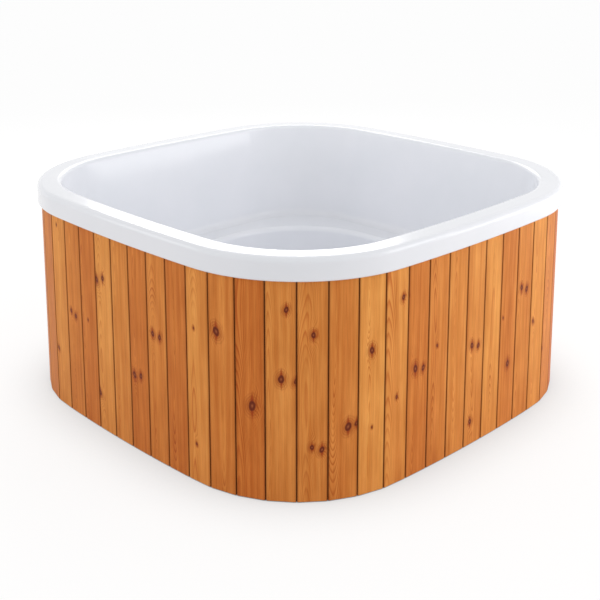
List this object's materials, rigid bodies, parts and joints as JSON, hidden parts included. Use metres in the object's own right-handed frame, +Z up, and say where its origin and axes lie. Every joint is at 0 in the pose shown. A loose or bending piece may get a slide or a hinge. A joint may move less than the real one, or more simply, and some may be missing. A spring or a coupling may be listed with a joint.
{
  "type": "square hot tub",
  "caption": "Free-standing square hot tub: a white one-piece moulded basin with a ledge and a foot well, hung in a round-cornered skirt of upright timber boards.",
  "frame": {"origin": "on the ground, under the middle of the tub, at the lower face of the middle bearer", "axes": "+Z up; the four sides face +X, -X, +Y and -Y; the drain valve and the heater pipes leave at +Y"},
  "size_m": [2.152, 2.2928, 1.005],
  "materials": {
    "white_acrylic": "gloss",
    "stained_pine": "satin",
    "plywood": "matte",
    "spruce": "matte",
    "treated_timber": "matte",
    "insulation": "matte",
    "grey_plastic": "satin",
    "seal_rubber": "matte",
    "seat_plastic": "satin",
    "steel": "satin",
    "red_grip": "satin"
  },
  "bodies": {
    "tub": {"tub_shell": "white_acrylic", "wall_foam": "insulation", "well_foam": "insulation", "floor_pad": "insulation", "ground_bearers": "treated_timber", "base_board": "plywood", "bottom_ring": "plywood", "ledge_deck": "plywood", "top_ring": "plywood", "lower_studs": "spruce", "upper_studs": "spruce", "ledge_posts": "spruce", "front_boards": "stained_pine", "front_right_corner_boards": "stained_pine", "right_boards": "stained_pine", "back_right_corner_boards": "stained_pine", "back_boards": "stained_pine", "drain_board": "stained_pine", "heater_board": "stained_pine", "back_left_corner_boards": "stained_pine", "left_boards": "stained_pine", "front_left_corner_boards": "stained_pine", "drain_flange": "steel", "drain_gasket": "seal_rubber", "drain_nut": "grey_plastic", "drain_elbow": "grey_plastic", "drain_pipe": "grey_plastic", "drain_grommet": "seal_rubber", "valve_body": "grey_plastic", "valve_seats": "seat_plastic", "valve_hose_tail": "grey_plastic", "upper_port_flange": "grey_plastic", "lower_port_flange": "grey_plastic", "port_gaskets": "seal_rubber", "port_nuts": "grey_plastic", "upper_port_pipe": "steel", "lower_port_pipe": "steel", "port_grommets": "seal_rubber"},
    "strainer": {"drain_strainer": "steel"},
    "lever": {"valve_ball": "steel", "valve_stem": "steel", "valve_lever": "steel", "lever_grip": "red_grip", "lever_nut": "steel"}
  },
  "joints": [
    {"name": "strainer_lift", "type": "slide", "parent": "tub", "child": "strainer", "axis": [0, 0, 1], "range_m": [0, 0.03]},
    {"name": "lever_turn", "type": "hinge", "parent": "tub", "child": "lever", "pos_m": [0.1224, 1.11483, 0.15], "axis": [0, 0, 1], "range_deg": [0, 90]}
  ]
}
